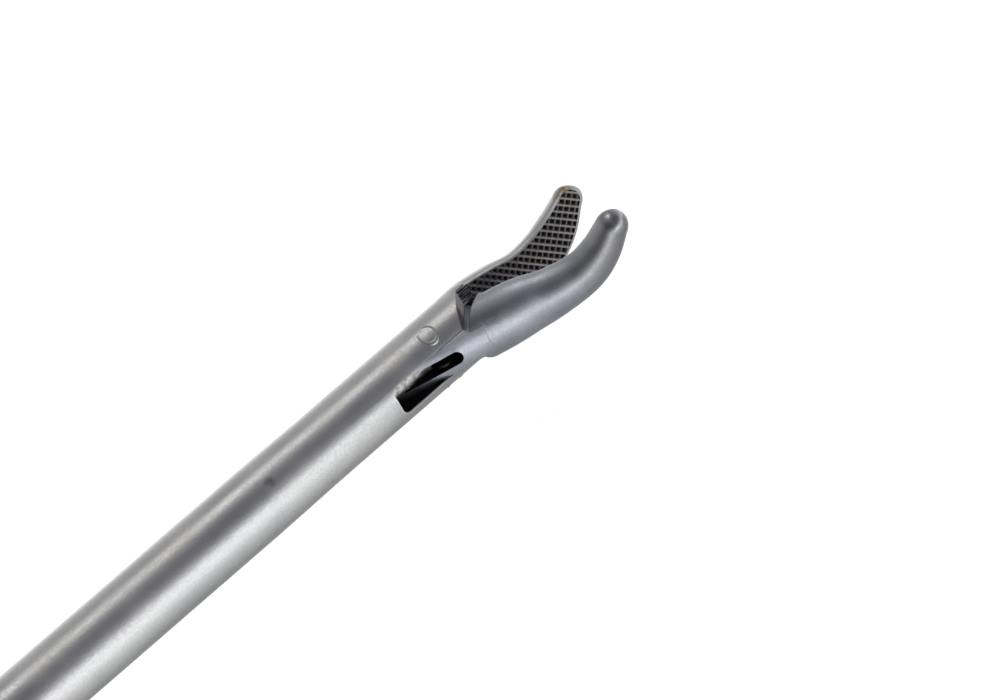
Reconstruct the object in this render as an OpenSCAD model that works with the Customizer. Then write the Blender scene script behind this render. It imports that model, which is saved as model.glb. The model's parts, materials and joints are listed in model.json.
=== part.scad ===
// Needle holder for keyhole surgery: curved jaws, long slim shaft, in-line squeeze handle.
// X runs along the shaft towards the jaw tip, Y towards the fixed jaw, Z is the jaw hinge axis.
// The origin is on the shaft axis at the front face of the handle. Millimetres.

/* [Shaft] */
// Working length, from the handle nose to the jaw tip
working_length = 330; // [250:5:400]
// Outside diameter of the shaft tube
tube_od = 5; // [4.9:0.05:5.4]
// Wall of the shaft tube
tube_wall = 0.5; // [0.3:0.05:0.6]
// Length of the shaft tube that sits inside the handle
tube_tail = 20; // [16:0.5:22]
// Diameter of the pull rod
rod_d = 2; // [1.8:0.05:2.2]

/* [Jaw housing] */
// Outside diameter of the jaw housing
housing_od = 4.86; // [4.7:0.02:4.9]
// Housing length behind the jaw hinge
housing_back = 16; // [12:0.5:24]
// Length over which it is dressed down from the tube's diameter
dressed_length = 6.4; // [4:0.2:8]
// Length of the spigot that is brazed into the tube
spigot_length = 6; // [4:0.5:10]
// Width of the slot between the two cheeks
cheek_slot = 2.2; // [2.1:0.05:2.3]
// Height of the slot roof above the shaft axis
slot_roof = 1.82; // [1.8:0.01:1.95]
// Where the slot ends behind the jaw hinge
window_back = 4.52; // [4.5:0.02:5.4]
// Corner radius at the closed end of the slot
window_corner = 0.6; // [0.2:0.05:0.8]
// Reach of the cheeks ahead of the hinge, on the shaft axis
cheek_reach = 3.7; // [3.5:0.05:3.8]
// Gap between the cheek ends and the shoulder of the moving jaw, along the shaft
shoulder_gap = 0.42; // [0.3:0.02:0.6]
// Slope of the cheek ends, in mm along the shaft for each mm across it
cheek_slope = 0.78; // [0.6:0.02:0.9]

/* [Jaws] */
// Reach of the fixed jaw ahead of the hinge
jaw_reach = 14.85; // [14.5:0.05:16.5]
// How much further the moving jaw reaches
moving_extra = 0.4; // [0:0.05:0.6]
// How far the jaws curve to the side at the tip
jaw_curve = 1.9; // [1.4:0.05:2.2]
// How much slimmer than the housing the moving jaw is at its root
root_step = 0.18; // [0:0.02:0.3]
// Half width of the fixed jaw near its tip
fixed_tip = 1.06; // [0.9:0.02:1.3]
// Half width of the moving jaw near its tip
moving_tip = 1.14; // [0.9:0.02:1.3]
// Thickness of the jaw near its tip
tip_depth = 1.45; // [1.2:0.05:1.8]
// Rounded lip along each gripping edge
jaw_rim = 0.16; // [0.05:0.01:0.3]
// Space between the gripping faces when closed
jaw_gap = 0.03; // [0.02:0.01:0.2]
// Angle between the jaws when open
open_angle = 25.5; // [22:0.5:26]

/* [Hinge and cam] */
// Hinge offset below the shaft axis
hinge_drop = 1.26; // [1.2:0.02:1.3]
// Diameter of the hinge stubs
stub_d = 1.1; // [0.9:0.05:1.2]
// Distance between the inner ends of the two stubs
stub_gap = 0.66; // [0.5:0.02:0.9]
// Width of the fork slot in the moving jaw's tail
fork_slot = 0.95; // [0.85:0.02:1]
// Where the fork slot ends ahead of the hinge
fork_front = 1.45; // [1.1:0.05:1.6]
// Diameter of the drive pin
pin_d = 0.7; // [0.6:0.02:0.76]
// Drive pin offset below the shaft axis
pin_drop = 0.35; // [0.3:0.01:0.4]
// Drive pin distance behind the hinge with the jaws open
pin_back = 1.6; // [1.5:0.05:1.65]
// Rod travel from open to closed
rod_travel = 2; // [1.6:0.05:2.05]

/* [Gripping inserts] */
// Thickness of each carbide insert
insert_depth = 0.7; // [0.4:0.05:0.9]
// Where the insert starts ahead of the hinge
insert_start = 4.6; // [4.5:0.05:5.5]
// Steel lip between the insert and the jaw's near edge and tip
insert_lip = 0.26; // [0.1:0.02:0.4]
// Steel lip between the insert and the jaw's far edge
insert_far_lip = 0.1; // [0.06:0.02:0.3]
// Spacing of the knurl
knurl_pitch = 0.46; // [0.4:0.02:0.7]
// Width of the flat ridge between two pits
knurl_ridge = 0.08; // [0.04:0.01:0.16]
// Depth of each pit
knurl_depth = 0.17; // [0.08:0.01:0.25]
// Angle of the knurl rows to the shaft
knurl_angle = 45; // [35:1:55]

/* [Handle] */
// Length of the handle body behind the collar nut
body_length = 132; // [125:1:150]
// Thickness of the handle body
body_thick = 14; // [14:0.5:18]
// Diameter of the handle barrel
barrel_d = 13.9; // [13.5:0.1:13.9]
// Length of the round barrel between the collar nut and the grip
barrel_length = 13; // [11:0.5:14]
// Radius of the grip round the lever pivot
pivot_boss = 6.4; // [6:0.1:6.8]
// Radius of the rounded rear end
body_tail_r = 8.2; // [7.5:0.1:9]
// Rounding of the long handle edges
edge_round = 1.75; // [1.5:0.25:3.5]
// Diameter of the spring bore
bore_d = 6; // [5.9:0.05:6.4]
// Length of the collar nut
nut_length = 16; // [15:0.5:18]
// Diameter of the collar nut
nut_d = 13.4; // [12.5:0.1:15]
// Diameter of the threaded spigot under the collar nut
thread_d = 10; // [9.6:0.1:10.6]
// Number of grip flutes round the collar nut
nut_flutes = 24; // [12:2:30]

/* [Lever] */
// Distance from the rod axis to the lever pivot
lever_arm = 7; // [6.6:0.1:7.4]
// Lever pivot position behind the handle nose
pivot_back = 38; // [36:0.5:40]
// Width of the slot that takes the lever yoke
yoke_slot = 10.1; // [9.8:0.1:10.4]
// Thickness of each yoke cheek
yoke_cheek = 1.8; // [1.4:0.1:1.8]
// Length of the lever behind its pivot
lever_length = 96; // [90:1:104]
// Thickness of the lever grip
lever_thick = 11.6; // [10:0.2:12.4]
// Diameter of the lever pivot screw
pivot_d = 4; // [3:0.1:4.2]
// Diameter of the yoke pins
yoke_pin_d = 2.4; // [2:0.1:2.6]

/* [Ratchet] */
// Radius of the ratchet rack about the lever pivot
rack_radius = 80; // [76:0.5:82]
// Width of the rack bar
rack_width = 3.6; // [3:0.1:4.4]
// Thickness of the rack bar
rack_thick = 3; // [2.4:0.1:3.2]
// Spacing of the ratchet teeth
tooth_pitch = 1.2; // [1:0.05:1.5]
// Depth of the ratchet teeth
tooth_depth = 0.8; // [0.5:0.05:0.9]
// Number of ratchet teeth
teeth = 7; // [4:1:8]
// Angle through which the ratchet pawl swings
pawl_angle = 8; // [6:0.5:10]

/* [Return spring] */
// Wire diameter of the return spring
wire_d = 0.7; // [0.5:0.05:0.8]
// Number of coils
coils = 8; // [5:1:10]

/* [Fits] */
// Radial clearance of hinges and sliding fits
running = 0.03; // [0.02:0.01:0.05]
// Side clearance of the moving jaw between the cheeks
side_play = 0.03; // [0.02:0.01:0.05]
// Clearance of screwed and dropped-in pieces
loose = 0.05; // [0.02:0.01:0.1]

/* [Hidden] */
$fn = 64;
eps = 0.01;

steel = [0.72, 0.72, 0.74];
bright_steel = [0.8, 0.8, 0.81];
carbide = [0.33, 0.32, 0.31];
dark_rubber = [0.12, 0.12, 0.13];
spring_steel = [0.55, 0.55, 0.58];

// Jaw hinge, from the handle nose
hinge_x = working_length - jaw_reach;
housing_r = housing_od / 2;
moving_reach = jaw_reach + moving_extra;
fixed_shape = stations(jaw_reach, jaw_curve, fixed_tip, 0, 0.08);
moving_shape = stations(moving_reach, jaw_curve + 0.22, moving_tip, root_step, 0);
tang_half = cheek_slot / 2 - side_play;
tube_id = tube_od - 2 * tube_wall;
// Drive pin height above the hinge axis
pin_rise = hinge_drop - pin_drop;
// Rear end of the tail, with corners bevelled to clear the rounded corners of the slot
tail_end = 4.28;
tail_bevel = max(window_corner - window_back + tail_end + 0.1, 0.1);

// Flat tongue of the rod
tongue_nose = 0.82;
tongue_length = 7;

// Flanged sleeve on the tube, held by the collar nut
flange_front = -5;
flange_back = -8.5;
sleeve_d = tube_od + 1.6;
flange_d = 8.4;
seal_back = tube_tail + 2;
gland_length = 5;

// Spool on the rod; the yoke pins lie ahead of the pivot with the lever open
lever_shift = rod_travel / 2;
lever_angle = 2 * asin(lever_shift / lever_arm);
spool_flange = 1.5;
groove = yoke_pin_d + 2 * loose;
spool_front = pivot_back - lever_shift - groove / 2 - spool_flange;
spool_rear = spool_front + 2 * spool_flange + groove;
spool_d = bore_d - 0.2;
hub_d = 3.8;
hub_length = 5;
rod_rear = spool_rear + hub_length + 3;
bore_end = 62;

// Handle body
body_front = nut_length;
body_rear = nut_length + body_length;
body_half = body_thick / 2;
spigot_front = -flange_back + 0.1;
rack_front = pivot_back + rack_radius - rack_width / 2 - 2;
pocket_front = pivot_back + 30;
pocket_rear = pivot_back + rack_radius + 4;
pocket_roof = 4;
tail_rise = 1;
screw_head = 1.6;
screw_head_d = 7;
yoke_boss = 3.4;
yoke_half = yoke_slot / 2 - 0.1;

// Rack, as angles below the lever pivot
rack_low = 14.6;
rack_high = 0.4;
rack_pin_d = 1.4;
rack_pin_angles = [12.3, 13.8];
rack_outer = rack_radius + rack_width / 2;
tooth_step = tooth_pitch / rack_radius * 180 / PI;
first_tooth = rack_high + 0.8 * tooth_step;

// Pawl: its tooth lies in the second notch with the lever closed
pawl_behind_rack = 8.6;
pawl_x = pivot_back + rack_radius + pawl_behind_rack;
pawl_y = -3.1;
pawl_hub = 2.4;
pawl_pin_d = 2.2;
pawl_half = rack_thick / 2;
pawl_slot = rack_thick / 2 + 0.2;
bite_angle = first_tooth + tooth_step;
bite_r = rack_outer - tooth_depth + 0.17 + loose;

// Release tab of the pawl, behind and above its pin
tab_rear = 12.2;
tab_front = 7.6;
tab_neck = 3.2;
tab_foot = 11.1;
tab_edge = 15.3;
tab_top = 16.5;

// Slot round the pawl, behind and above its pin
slot_ahead = 6.4;
slot_behind = 17.4;
slot_ledge = 11.1;
slot_floor = 2.9;

// Flat spring that steadies the pawl: a sloping strip behind the pin
strip_front = 5.2;
strip_rear = 13.9;
strip_rise = 1.17;
strip_thick = 0.33;
strip_slope = 0.192;
strip_half = 1.2;

// Jaw stations: distance ahead of the hinge, sideways shift, half width and thickness
function stations(reach, curve, tip, slim, wide) =
    let (root = housing_r - 0.02 - slim, full = slim / 2)
    [
        [2.6, 0, root, root],
        [4.5, 0, root, root],
        [6.3, 0.02, 2.08 + full / 2, 2.2 + full / 2],
        [8.4, -0.13, 1.75 + full, 1.85 + full],
        [reach - 4.4, 0.1, 1.6 + wide, 1.74],
        [reach - 2.65, 0.42 * curve, 1.4 + wide, 1.74 - full],
        [reach - tip, curve - wide / 2, tip, tip_depth]
    ];

// Smooth curve through four neighbouring stations
function blend(a, b, c, d, t) =
    0.5 * (2 * b + (c - a) * t + (2 * a - 5 * b + 4 * c - d) * t * t
        + (3 * b - a - 3 * c + d) * t * t * t);
function at(s, u) =
    let (last = len(s) - 1, i = min(floor(u), last - 1))
    blend(s[max(i - 1, 0)], s[i], s[i + 1], s[min(i + 2, last)], u - i);
function heading(s, u) =
    let (h = 0.02, last = len(s) - 1, p = at(s, max(u - h, 0)), q = at(s, min(u + h, last)))
    [q[0] - p[0], q[1] - p[1]] / norm([q[0] - p[0], q[1] - p[1]]);

// One jaw section, half as wide as b and t thick, with rounded gripping edges
arc_steps = 22;
function section(b, t, rim) = concat(
    [[b - rim, 0], [b - 0.3 * rim, 0.3 * rim]],
    [for (i = [0:arc_steps])
        let (a = 180 * i / arc_steps)
        [b * cos(a), rim + (t - rim) * sin(a)]],
    [[-b + 0.3 * rim, 0.3 * rim], [-b + rim, 0]]
);

// Rings of jaw sections along the curve, closed by a rounded nose
body_rings = 30;
nose_rings = 9;
nose_close = 86;
function ring(s, k) =
    let (
        last = len(s) - 1,
        in_nose = k > body_rings,
        u = in_nose ? last : last * k / body_rings,
        f = in_nose ? nose_close * (k - body_rings) / nose_rings : 0,
        st = at(s, u),
        dir = heading(s, u),
        reach = sin(f) * st[2],
        shrink = cos(f),
        rim = jaw_rim * shrink
    )
    [for (p = section(st[2] * shrink, st[3] * shrink, rim))
        [st[0] + dir[0] * reach - dir[1] * p[0], p[1], st[1] + dir[1] * reach + dir[0] * p[0]]];

module jaw_loft(s) {
    rings = [for (k = [0:body_rings + nose_rings]) ring(s, k)];
    n = len(rings[0]);
    last = len(rings) - 1;
    points = [for (r = rings) for (p = r) p];
    sides = [for (k = [0:last - 1]) for (i = [0:n - 1])
        let (j = (i + 1) % n, a = k * n + i, b = k * n + j, c = a + n, d = b + n)
        each [[a, b, d], [a, d, c]]];
    back = [[for (i = [n - 1:-1:0]) i]];
    front = [[for (i = [0:n - 1]) last * n + i]];
    polyhedron(points, concat(sides, back, front), convexity = 6);
}

// Plan outline of an insert, seen along Y, drawn as x and z
edge_steps = 20;
function insert_outline(s, grow) =
    let (
        last = len(s) - 1,
        u0 = 1 + (insert_start - s[1][0]) / (s[2][0] - s[1][0]),
        tip = s[last],
        dir = heading(s, last),
        r = tip[2] - insert_lip + grow
    )
    concat(
        [for (i = [0:edge_steps])
            let (u = u0 + (last - u0) * i / edge_steps, st = at(s, u), d = heading(s, u),
                 w = st[2] - insert_far_lip - (insert_lip - insert_far_lip) * (i / edge_steps) + grow)
            [st[0] + d[1] * w, st[1] - d[0] * w]],
        [for (i = [1:11])
            let (a = -90 + 15 * i)
            [tip[0] + r * (dir[0] * cos(a) - dir[1] * sin(a)),
             tip[1] + r * (dir[1] * cos(a) + dir[0] * sin(a))]],
        [for (i = [edge_steps:-1:0])
            let (u = u0 + (last - u0) * i / edge_steps, st = at(s, u), d = heading(s, u),
                 w = st[2] - insert_lip + grow)
            [st[0] - d[1] * w, st[1] + d[0] * w]]
    );

// Flat shape drawn in x and z, standing up along Y from y0 to y1
module plan_extrude(y0, y1) {
    translate([0, y1, 0]) rotate([90, 0, 0]) linear_extrude(y1 - y0) children();
}

// V-shaped rows across the gripping face; where two rows cross they leave a pit
module knurl_rows(angle, length, count) {
    half = (knurl_pitch - knurl_ridge) / 2;
    rotate([0, angle, 0])
        for (i = [-count:count])
            translate([-length / 2, 0, i * knurl_pitch])
                rotate([0, 90, 0])
                    linear_extrude(length)
                        polygon([[-half, -eps], [0, knurl_depth], [half, -eps]]);
}

module knurl_pits(reach) {
    middle = (insert_start + reach) / 2;
    length = reach - insert_start + 4;
    count = ceil(length / 2 / knurl_pitch);
    translate([middle, 0, 0.6])
        intersection() {
            knurl_rows(knurl_angle, length, count);
            knurl_rows(-knurl_angle, length, count);
        }
}

// Insert with its gripping face on y = 0, its back above
module insert_plate(s, reach) {
    difference() {
        plan_extrude(0, insert_depth) polygon([for (p = insert_outline(s, 0)) [p[0], p[1]]]);
        knurl_pits(reach);
    }
}

module insert_seat(s) {
    plan_extrude(-1, insert_depth) polygon([for (p = insert_outline(s, eps)) [p[0], p[1]]]);
}

// Everything ahead of the handle is drawn from the jaw hinge, then moved out along the shaft
module at_hinge() {
    translate([hinge_x, 0, 0]) children();
}

// The moving jaw is drawn closed, then turned open about the hinge
module jaw_open() {
    at_hinge()
        translate([0, -hinge_drop, 0]) rotate([0, 0, -open_angle]) translate([0, hinge_drop, 0])
            children();
}

module along_x(x0, x1, d) {
    translate([x0, 0, 0]) rotate([0, 90, 0]) cylinder(h = x1 - x0, d = d);
}

module side_extrude(half) {
    translate([0, 0, -half]) linear_extrude(2 * half) children();
}

// Slot between the cheeks: rounded at its closed end in plan, sloped at its front in side view
module cheek_slot_cut() {
    front = 4.4;
    r = window_corner;
    intersection() {
        side_extrude(cheek_slot)
            polygon([[-window_back - 1, -3], [-window_back - 1, slot_roof], [3.2, slot_roof],
                     [front, 0], [front, -3]]);
        plan_extrude(-3, 3)
            union() {
                translate([-window_back + r, -cheek_slot / 2]) square([front + window_back, cheek_slot]);
                translate([-window_back, -cheek_slot / 2 + r]) square([r + eps, cheek_slot - 2 * r]);
                for (z = [-1, 1]) translate([-window_back + r, z * (cheek_slot / 2 - r)]) circle(r);
            }
    }
}

module jaw_housing() {
    low = -3;
    color(steel)
        at_hinge()
            difference() {
                union() {
                    along_x(-housing_back + dressed_length - eps, 4.4, housing_od);
                    translate([-housing_back, 0, 0]) rotate([0, 90, 0])
                        cylinder(h = dressed_length, d1 = tube_od, d2 = housing_od);
                    along_x(-housing_back - spigot_length, -housing_back + eps, tube_id - 2 * running);
                    jaw_loft(fixed_shape);
                }
                side_extrude(4)
                    polygon([[cheek_reach + low * cheek_slope, low], [cheek_reach, 0],
                             [cheek_reach, jaw_gap / 2], [30, jaw_gap / 2], [30, low]]);
                cheek_slot_cut();
                along_x(-housing_back - spigot_length - 1, -window_back + 1, rod_d + 2 * running);
                translate([0, -hinge_drop, -3]) cylinder(h = 6, d = stub_d);
                translate([0, jaw_gap / 2, 0]) insert_seat(fixed_shape);
            }
}

module fixed_jaw_insert() {
    color(carbide) at_hinge() translate([0, jaw_gap / 2, 0]) insert_plate(fixed_shape, jaw_reach);
}

// Path of the drive pin in the closed jaw, for a rod that has moved by u
cam_steps = 12;
function cam_point(u) =
    let (turn = open_angle * (1 - u / rod_travel), x = -pin_back - u, y = pin_rise)
    [x * cos(turn) - y * sin(turn), x * sin(turn) + y * cos(turn)];

module cam_slot() {
    r = pin_d / 2 + running;
    path = [for (i = [0:cam_steps]) cam_point(rod_travel * i / cam_steps)];
    normals = [for (i = [0:cam_steps])
        let (d = path[min(i + 1, cam_steps)] - path[max(i - 1, 0)])
        [-d[1], d[0]] / norm(d)];
    upper = [for (i = [0:cam_steps]) path[i] + r * normals[i]];
    lower = [for (i = [cam_steps:-1:0]) path[i] - r * normals[i]];
    linear_extrude(4, center = true) polygon(concat(upper, lower));
    for (p = [path[0], path[cam_steps]])
        translate([p[0], p[1], -2]) cylinder(h = 4, r = r);
}

// Side view of the tang and forked tail, closed, measured from the hinge
tail_outline = [
    [3.2, -1.4], [-3.35, -1.4], [-4.1, -0.75], [-tail_end, -0.1], [-tail_end, 1], [-4.1, 1.25],
    [-3.3, 1.6], [-1.5, 2.3], [-0.4, 2.72], [0.2, 2.82], [2.6, 2.82], [3, 2.62],
    [3.9, 1.42], [4.5, 1.1], [4.5, 0.4]
];

module moving_jaw() {
    shoulder = cheek_reach + shoulder_gap;
    color(steel)
        jaw_open()
            difference() {
                union() {
                    difference() {
                        union() {
                            along_x(1, 4.4, housing_od - 2 * root_step);
                            mirror([0, 1, 0]) jaw_loft(moving_shape);
                        }
                        side_extrude(4)
                            polygon([[-1, 4], [-1, -4], [shoulder - 4 * cheek_slope, -4], [shoulder, 0],
                                     [shoulder, 4]]);
                        translate([0, -jaw_gap / 2, -4]) cube([30, 8, 8]);
                        mirror([0, 1, 0]) translate([0, jaw_gap / 2, 0]) insert_seat(moving_shape);
                    }
                    intersection() {
                        translate([0, -hinge_drop, 0]) side_extrude(tang_half) polygon(tail_outline);
                        // Round outside of the tang, which narrows to the jaw's root
                        union() {
                            along_x(-6, eps, housing_od);
                            rotate([0, 90, 0])
                                cylinder(h = insert_start, d1 = housing_od, d2 = housing_od - 2 * root_step);
                        }
                        translate([-6, -4, -4]) cube([insert_start - 0.05 + 6, 8, 8]);
                    }
                }
                translate([-6, -4, -fork_slot / 2]) cube([6 + fork_front - fork_slot / 2, 8, fork_slot]);
                translate([fork_front - fork_slot / 2, 4, 0]) rotate([90, 0, 0])
                    cylinder(h = 8, d = fork_slot);
                for (side = [0, 1])
                    mirror([0, 0, side])
                        plan_extrude(-4, 4)
                            polygon([[-tail_end - 1, tang_half - tail_bevel - 1],
                                     [-tail_end + tail_bevel + 1, tang_half + 1],
                                     [-tail_end - 1, tang_half + 1]]);
                translate([0, -hinge_drop, -3]) cylinder(h = 6, d = stub_d + 2 * running);
                translate([0, -hinge_drop, 0]) cam_slot();
            }
}

module moving_jaw_insert() {
    color(carbide)
        jaw_open()
            mirror([0, 1, 0]) translate([0, jaw_gap / 2, 0]) insert_plate(moving_shape, moving_reach);
}

module jaw_pivot_stubs() {
    color(bright_steel)
        at_hinge()
            intersection() {
                for (side = [0, 1])
                    mirror([0, 0, side])
                        translate([0, -hinge_drop, stub_gap / 2]) cylinder(h = 3, d = stub_d);
                along_x(-3, 3, housing_od);
            }
}

module drive_pin() {
    color(bright_steel)
        at_hinge()
            translate([-pin_back, -pin_drop, 0])
                cylinder(h = 2 * tang_half - 0.04, d = pin_d, center = true);
}

module pull_rod() {
    tongue_front = hinge_x - pin_back + tongue_nose;
    color(steel)
        difference() {
            along_x(-rod_rear, tongue_front, rod_d);
            for (side = [0, 1])
                mirror([0, 0, side])
                    translate([tongue_front - tongue_length, -rod_d, fork_slot / 2 - side_play])
                        cube([tongue_length + 1, 2 * rod_d, rod_d]);
            translate([hinge_x - pin_back, -pin_drop, -2]) cylinder(h = 4, d = pin_d);
        }
}

module shaft_tube() {
    color(steel)
        difference() {
            along_x(-tube_tail, hinge_x - housing_back, tube_od);
            along_x(-tube_tail - 1, hinge_x - housing_back + 1, tube_id);
        }
}

module shaft_ferrule() {
    color(bright_steel)
        difference() {
            union() {
                along_x(flange_back, flange_front, flange_d);
                along_x(-tube_tail, flange_back + eps, sleeve_d);
            }
            along_x(-tube_tail - 1, 0, tube_od + 2 * running);
        }
}

module collar_nut() {
    chamfer = 1.6;
    color(steel)
        difference() {
            translate([-nut_length, 0, 0]) rotate([0, 90, 0])
                rotate_extrude()
                    polygon([[0, 0], [nut_d / 2 - 0.6, 0], [nut_d / 2, 0.6], [nut_d / 2, nut_length - 5],
                             [nut_d / 2 - chamfer, nut_length - 1], [nut_d / 2 - chamfer - 1, nut_length],
                             [0, nut_length]]);
            along_x(-nut_length - 1, 1, tube_od + 2 * loose);
            along_x(-nut_length - 1, flange_front + loose, thread_d + 2 * loose);
            for (i = [0:nut_flutes - 1])
                rotate([360 * i / nut_flutes, 0, 0])
                    translate([-nut_length + 1.6, nut_d / 2 + 0.25, 0])
                        rotate([0, 90, 0]) cylinder(h = nut_length - 8, d = 1.1, $fn = 16);
        }
}

module rod_seal() {
    r = (bore_d / 2 - rod_d / 2 - 2 * 0.02) / 2;
    color(dark_rubber)
        translate([-tube_tail - 1, 0, 0]) rotate([0, 90, 0])
            rotate_extrude() translate([rod_d / 2 + 0.02 + r, 0]) circle(min(r, 1), $fn = 32);
}

module seal_gland() {
    color(bright_steel)
        difference() {
            along_x(-seal_back - gland_length, -seal_back, bore_d);
            along_x(-seal_back - gland_length - 1, 0, rod_d + 2 * running);
            translate([-seal_back - gland_length - eps, -bore_d, -0.4]) cube([1.2, 2 * bore_d, 0.8]);
        }
}

module rod_spool() {
    color(bright_steel)
        difference() {
            union() {
                along_x(-spool_front - spool_flange, -spool_front, spool_d);
                along_x(-spool_rear, -spool_front, rod_d + 0.6);
                along_x(-spool_rear, -spool_rear + spool_flange, spool_d);
                along_x(-spool_rear - hub_length, -spool_rear + eps, hub_d);
            }
            along_x(-spool_rear - hub_length - 1, 0, rod_d);
        }
}

module spool_nut() {
    color(steel)
        translate([-spool_rear - hub_length - 1.8, 0, 0]) rotate([0, 90, 0])
            difference() {
                cylinder(h = 1.8, d = hub_d, $fn = 6);
                translate([0, 0, -1]) cylinder(h = 4, d = rod_d);
            }
}

function coil_point(t, r0, h0, h1) = [r0 * cos(360 * t), r0 * sin(360 * t), h0 + (h1 - h0) * t / coils];
module return_spring() {
    mean = bore_d / 2 - 0.1 - wire_d / 2;
    start = -bore_end + wire_d / 2;
    end = -spool_rear - wire_d / 2;
    sides = 8;
    steps = 14 * coils;
    rings = [for (i = [0:steps])
        let (t = i / 14, a = 360 * t, x = start + (end - start) * t / coils)
        [for (k = [0:sides - 1])
            let (b = 360 * k / sides, r = mean + wire_d / 2 * cos(b))
            [x + wire_d / 2 * sin(b), r * cos(a), r * sin(a)]]];
    points = [for (r = rings) for (p = r) p];
    walls = [for (i = [0:steps - 1]) for (k = [0:sides - 1])
        let (j = (k + 1) % sides, a = i * sides + k, b = i * sides + j, c = a + sides, d = b + sides)
        each [[a, d, c], [a, b, d]]];
    color(spring_steel)
        polyhedron(points, concat(walls, [[for (k = [sides - 1:-1:0]) k]],
            [[for (k = [0:sides - 1]) steps * sides + k]]), convexity = 10);
}

// Disc with rounded edges, the corner of a rounded slab
module soft_disc(x, y, r, half, round) {
    for (i = [0:4])
        let (a = 90 * i / 4)
        translate([x, y, -half + round * (1 - cos(a))])
            cylinder(h = 2 * (half - round * (1 - cos(a))), r = r - round * (1 - sin(a)), $fn = 40);
}

// Side view of a piece of the pawl spring's strip, half as thick as t
function strip(x0, x1, t) = [
    for (p = [[x0, t], [x1, t], [x1, -t], [x0, -t]])
        [-pawl_x - p[0], pawl_y + strip_rise - strip_slope * (p[0] - strip_front) + p[1]]
];

module handle_body() {
    tail_x = -body_rear + body_tail_r;
    // Side view of the space for the rack and the pawl
    pawl_room = [
        [-rack_front, pocket_roof - 1],
        [-rack_front, pawl_y + slot_ledge],
        [-pawl_x - slot_ahead, pawl_y + slot_ledge],
        [-pawl_x - slot_ahead, 2 * body_tail_r],
        [-pawl_x - slot_behind, 2 * body_tail_r],
        [-pawl_x - slot_behind, pawl_y + slot_ledge + 0.5],
        [-pawl_x - slot_behind + 1.5, pawl_y + slot_ledge - 2],
        [-pawl_x - 4, pawl_y - slot_floor],
        [-pocket_rear + 1, pawl_y - slot_floor]
    ];
    color(steel)
        difference() {
            union() {
                hull() {
                    soft_disc(-body_front - barrel_length, 0, barrel_d / 2, body_half, edge_round);
                    soft_disc(-pivot_back, lever_arm, pivot_boss, body_half, edge_round);
                    soft_disc(tail_x, tail_rise, body_tail_r, body_half, edge_round);
                }
                along_x(-body_front - barrel_length, -body_front, barrel_d);
                along_x(-body_front - 1, -spigot_front, thread_d);
            }
            along_x(-tube_tail, 0, sleeve_d);
            along_x(-bore_end, -tube_tail + eps, bore_d);
            // Slot for the yoke
            translate([-pivot_back - 9, -20, -yoke_slot / 2]) cube([19.5, 20 + lever_arm, yoke_slot]);
            translate([-pivot_back, lever_arm, 0])
                cylinder(h = yoke_slot, r = yoke_boss + 0.4, center = true);
            // Hollow on the lever side
            translate([-pocket_rear, -20, -yoke_slot / 2])
                cube([pocket_rear - pocket_front, 20 + pocket_roof, yoke_slot]);
            // Slot for the rack and the pawl
            side_extrude(pawl_slot) polygon(pawl_room);
            // Slit for the pawl spring
            side_extrude(strip_half + 2 * loose)
                polygon(strip(slot_ahead - 1, strip_rear + loose, strip_thick / 2 + loose));
            translate([-pivot_back, lever_arm, 0]) cylinder(h = 30, d = pivot_d, center = true);
            translate([-pivot_back, lever_arm, body_half - screw_head]) cylinder(h = 5, d = screw_head_d);
            translate([-pawl_x, pawl_y, 0]) cylinder(h = 30, d = pawl_pin_d, center = true);
        }
}

// The lever is drawn closed, then turned open about its pivot
module lever_open() {
    translate([-pivot_back, lever_arm, 0]) rotate([0, 0, lever_angle]) translate([pivot_back, -lever_arm, 0])
        children();
}

// The pins swing as far ahead of the pivot as behind it
module yoke_pin_place() {
    translate([-pivot_back, lever_arm, 0]) rotate([0, 0, -lever_angle / 2]) translate([0, -lever_arm, 0])
        children();
}

module lever() {
    arm_half = lever_thick / 2;
    tip_x = -pivot_back - lever_length;
    top = -8.1;
    color(steel)
        lever_open()
            difference() {
                union() {
                    // Yoke cheeks
                    for (side = [0, 1])
                        mirror([0, 0, side])
                            translate([0, 0, yoke_half - yoke_cheek])
                                linear_extrude(yoke_cheek)
                                    union() {
                                        translate([-pivot_back, lever_arm]) circle(yoke_boss);
                                        polygon([[-pivot_back + yoke_boss - 0.2, lever_arm],
                                                 [-pivot_back - yoke_boss + 0.2, lever_arm],
                                                 [-pivot_back - 4.6, -5], [-pivot_back + 2.8, -5]]);
                                    }
                    // Root that joins the cheeks below the rod
                    side_extrude(yoke_half)
                        polygon([[-pivot_back + 2.8, -4.8], [-pivot_back - 4.6, -4.8],
                                 [-pivot_back - 7, top], [-pivot_back - 18, top], [-pivot_back - 18, -13],
                                 [-pivot_back - 8, -13.4], [-pivot_back, -10]]);
                    hull() {
                        soft_disc(-pivot_back - 14, top - 3.4, 3.4, arm_half, 1.8);
                        soft_disc(-pivot_back - 52, top - 4.4, 4.4, arm_half, 2.4);
                    }
                    hull() {
                        soft_disc(-pivot_back - 52, top - 4.4, 4.4, arm_half, 2.4);
                        soft_disc(tip_x + 14, top - 3.6, 3.6, arm_half, 2);
                    }
                    hull() {
                        soft_disc(tip_x + 14, top - 3.6, 3.6, arm_half, 2);
                        soft_disc(tip_x + 4.6, top - 6.2, 4.6, arm_half, 2.4);
                    }
                }
                translate([-pivot_back, lever_arm, 0])
                    cylinder(h = 30, d = pivot_d + 2 * running, center = true);
                yoke_pin_place() cylinder(h = 30, d = yoke_pin_d, center = true);
                rack_bar();
                rack_pin_places() cylinder(h = 30, d = rack_pin_d, center = true);
            }
}

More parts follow.
